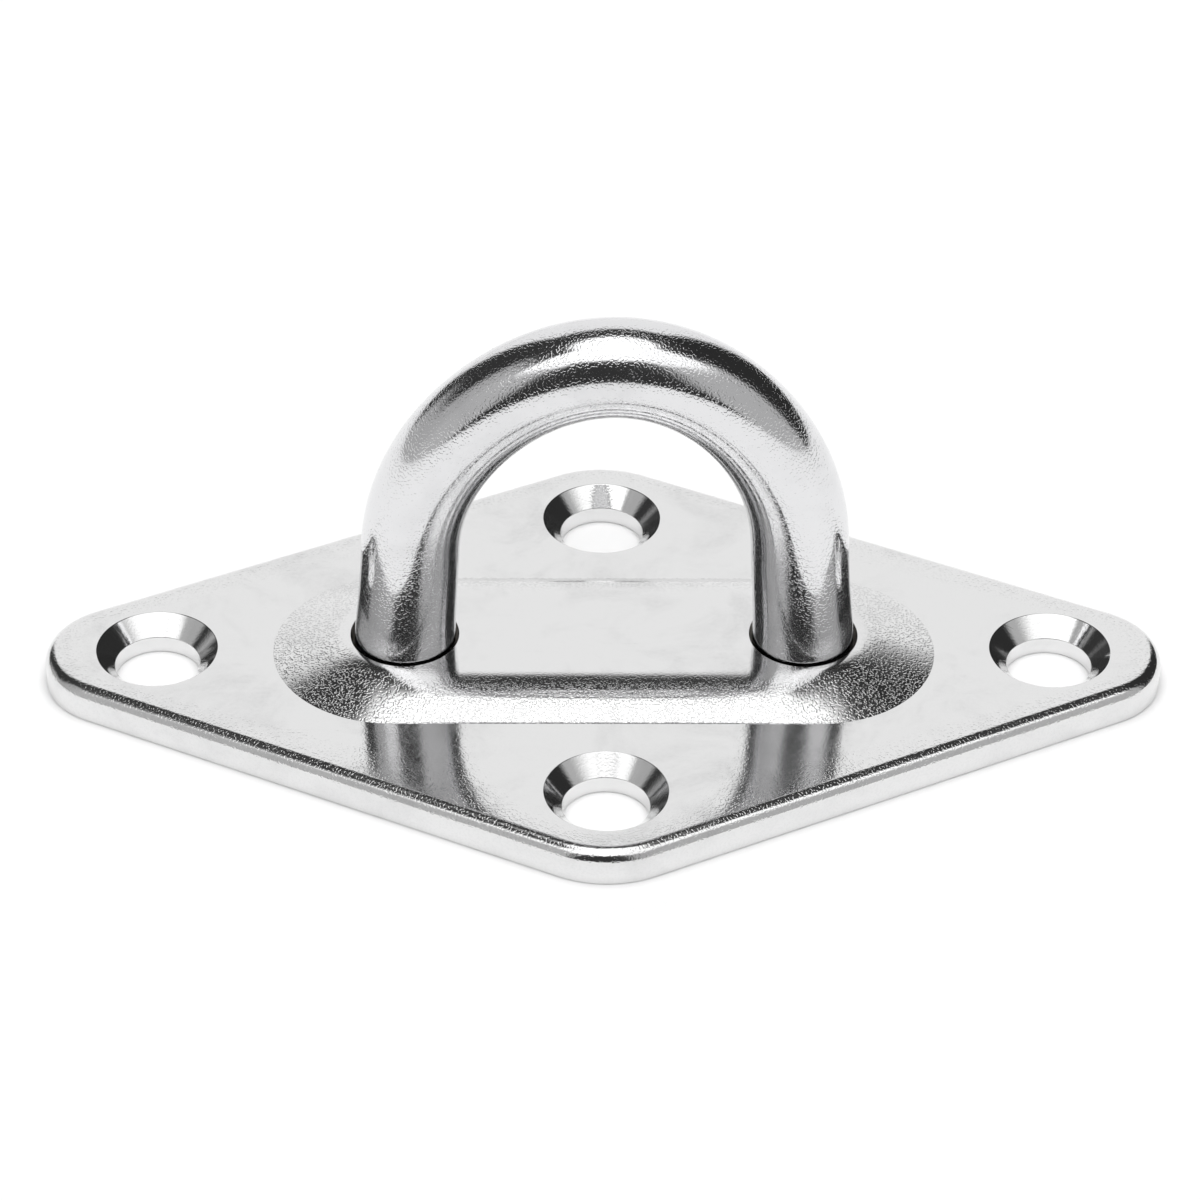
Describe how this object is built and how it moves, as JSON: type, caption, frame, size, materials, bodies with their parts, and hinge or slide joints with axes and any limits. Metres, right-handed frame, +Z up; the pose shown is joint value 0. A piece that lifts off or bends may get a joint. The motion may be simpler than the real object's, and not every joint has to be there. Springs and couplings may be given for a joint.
{
  "type": "pad eye",
  "caption": "Diamond-shaped pad eye: a round bar eye welded through a raised boss on a flat plate with countersunk screw holes near its corners.",
  "frame": {"origin": "under the centre of the plate, on the surface that the plate is screwed to", "axes": "+X along the plate's long diagonal, +Y along its short diagonal, +Z up through the eye; the eye stands in the XZ plane"},
  "size_m": [0.092, 0.053, 0.035],
  "materials": {
    "polished_plate": "tumble-polished stainless sheet, bright on top and duller underneath",
    "polished_bar": "tumble-polished stainless round bar, with a fine grain on the bend",
    "weld": "rippled weld metal, slightly heat-tinted"
  },
  "bodies": {
    "root": {"base_plate": "polished_plate", "eye_bow": "polished_bar", "weld_bead_left": "weld", "weld_bead_right": "weld"}
  },
  "joints": []
}
